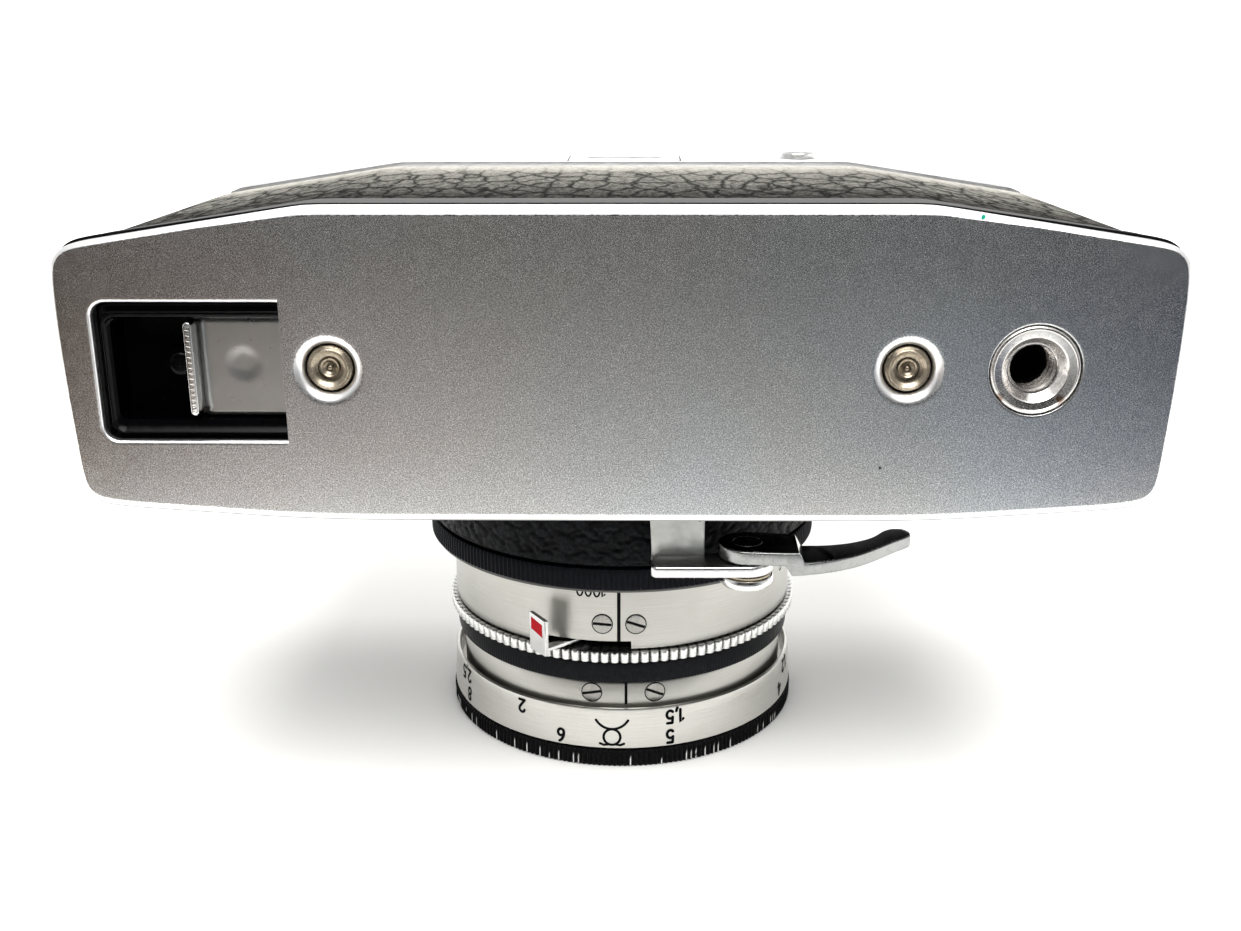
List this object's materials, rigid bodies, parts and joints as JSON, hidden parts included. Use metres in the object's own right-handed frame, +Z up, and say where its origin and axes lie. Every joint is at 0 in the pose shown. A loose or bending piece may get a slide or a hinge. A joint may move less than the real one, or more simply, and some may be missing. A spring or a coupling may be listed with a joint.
{
  "type": "film camera",
  "caption": "Boxy metal 35 mm single-lens reflex camera standing on its lens, with leather-covered back and lens drum, ringed lens, wind lever, folding rewind crank and tripod socket.",
  "frame": {"origin": "centre of the object's box at the plane that the lens's front ring stands on", "axes": "+Z up, along the lens axis from the lens to the camera's back; -Y out of the base plate; +Y towards the camera's top; +X towards the viewer's right"},
  "size_m": [0.1454, 0.092, 0.083],
  "materials": {
    "satin_chrome": "satin chrome plate over brass, fine bead-blasted grain",
    "polished_chrome": "bright chrome plate",
    "satin_silver": "satin-anodised, finely turned",
    "nickel": "nickel-plated, turned",
    "bare_steel": "machined steel",
    "casting": "black-painted die casting",
    "leather": "black, coarse elephant grain",
    "black_ring": "black-anodised",
    "black_plastic": "gloss black moulding",
    "optical_glass": "polished",
    "mirror_glass": "front-silvered"
  },
  "bodies": {
    "camera": {"base_plate": "satin_chrome", "base_screw_left": "nickel", "base_screw_right": "nickel", "tripod_bush": "bare_steel", "rewind_well": "black_plastic", "crank_pin": "bare_steel", "body_casting": "casting", "side_leather_right": "leather", "side_leather_left": "leather", "hinge_pin": "bare_steel", "spool_shaft": "bare_steel", "focusing_screen": "optical_glass", "pentaprism": "optical_glass", "top_cover": "satin_chrome", "accessory_shoe": "polished_chrome", "eyepiece_frame": "polished_chrome", "eyepiece_lens": "optical_glass", "release_collar": "polished_chrome", "counter_window": "optical_glass", "meter_window": "optical_glass", "sync_socket": "polished_chrome", "strap_lug_left": "polished_chrome", "strap_lug_right": "polished_chrome", "mount_drum": "casting", "drum_leather": "leather", "shutter_block": "black_ring", "lever_bracket": "polished_chrome", "lever_screw": "polished_chrome", "lever_washer": "nickel", "lens_barrel": "satin_silver", "barrel_screw_left": "bare_steel", "barrel_screw_right": "bare_steel", "index_ring": "satin_silver", "index_screw_left": "bare_steel", "index_screw_right": "bare_steel"},
    "back": {"back_door": "satin_chrome", "back_leather": "leather", "pressure_plate": "bare_steel"},
    "latch": {"back_latch": "satin_chrome"},
    "crank": {"rewind_crank": "bare_steel"},
    "spindle": {"rewind_shaft": "bare_steel"},
    "sprocket": {"sprocket": "bare_steel"},
    "spool": {"takeup_spool": "black_plastic"},
    "mirror": {"mirror": "mirror_glass"},
    "wind": {"wind_lever": "polished_chrome"},
    "release": {"release_button": "polished_chrome"},
    "counter": {"counter_dial": "black_ring"},
    "lock": {"lock_ring": "black_ring"},
    "sync": {"sync_lever": "bare_steel"},
    "aperture": {"aperture_ring": "polished_chrome", "depth_band": "black_ring"},
    "focus": {"focus_ring": "satin_silver", "focus_grip": "black_ring"},
    "cell": {"lens_cell": "black_ring", "front_bezel": "black_ring", "front_lens": "optical_glass", "rear_lens": "optical_glass"}
  },
  "joints": [
    {"name": "back_hinge", "type": "hinge", "parent": "camera", "child": "back", "pos_m": [0.0671, -0.01, 0.0739], "axis": [0, 1, 0], "range_deg": [0, 100]},
    {"name": "latch_slide", "type": "slide", "parent": "camera", "child": "latch", "axis": [0, 1, 0], "range_m": [0, 0.004], "stiffness_N_per_m": 150, "springref_m": -0.002},
    {"name": "crank_fold", "type": "hinge", "parent": "camera", "child": "crank", "pos_m": [-0.0418, -0.0413, 0.06185], "axis": [0, 0, 1], "range_deg": [0, 68]},
    {"name": "rewind_turn", "type": "hinge", "parent": "camera", "child": "spindle", "pos_m": [-0.0556, -0.033, 0.0619], "axis": [0, 1, 0], "continuous": true},
    {"name": "wind_stroke", "type": "hinge", "parent": "camera", "child": "wind", "pos_m": [0.0172, -0.0376, 0.035], "axis": [0, 0, -1], "range_deg": [0, 100], "stiffness_Nm_per_rad": 0.02, "springref_deg": -22.92},
    {"name": "sprocket_turn", "type": "hinge", "parent": "camera", "child": "sprocket", "pos_m": [0.0325, -0.006, 0.0706], "axis": [0, 1, 0], "range_deg": [0, 362]},
    {"name": "spool_turn", "type": "hinge", "parent": "camera", "child": "spool", "pos_m": [0.0515, -0.006, 0.0623], "axis": [0, 1, 0], "range_deg": [0, 242]},
    {"name": "counter_turn", "type": "hinge", "parent": "camera", "child": "counter", "pos_m": [0.0575, 0.037, 0.06], "axis": [0, 1, 0], "range_deg": [0, 10]},
    {"name": "mirror_flip", "type": "hinge", "parent": "camera", "child": "mirror", "pos_m": [0, 0.0115, 0.0736], "axis": [1, 0, 0], "range_deg": [0, 45], "stiffness_Nm_per_rad": 0.005, "springref_deg": -28.65},
    {"name": "release_press", "type": "slide", "parent": "camera", "child": "release", "axis": [0, -1, 0], "range_m": [0, 0.0022], "stiffness_N_per_m": 400, "springref_m": -0.0008},
    {"name": "lock_turn", "type": "hinge", "parent": "camera", "child": "lock", "pos_m": [0, -0.006, 0.03], "axis": [0, 0, 1], "range_deg": [0, 60]},
    {"name": "sync_set", "type": "hinge", "parent": "camera", "child": "sync", "pos_m": [0, -0.006, 0.02], "axis": [0, 0, 1], "range_deg": [0, 14]},
    {"name": "aperture_turn", "type": "hinge", "parent": "camera", "child": "aperture", "pos_m": [0, -0.006, 0.016], "axis": [0, 0, 1], "range_deg": [-30, 45]},
    {"name": "focus_turn", "type": "hinge", "parent": "camera", "child": "focus", "pos_m": [0, -0.006, 0.005], "axis": [0, 0, 1], "range_deg": [-129, 206]},
    {"name": "focus_extend", "type": "slide", "parent": "camera", "child": "cell", "axis": [0, 0, 1], "range_m": [-0.00096, 0.00154]}
  ],
  "couplings": [
    {"joint": "sprocket_turn", "follows": "wind_stroke", "ratio": 3.6},
    {"joint": "spool_turn", "follows": "wind_stroke", "ratio": 2.4},
    {"joint": "counter_turn", "follows": "wind_stroke", "ratio": 0.09},
    {"joint": "focus_turn", "follows": "focus_extend", "rad_per_m": 2338.6}
  ]
}
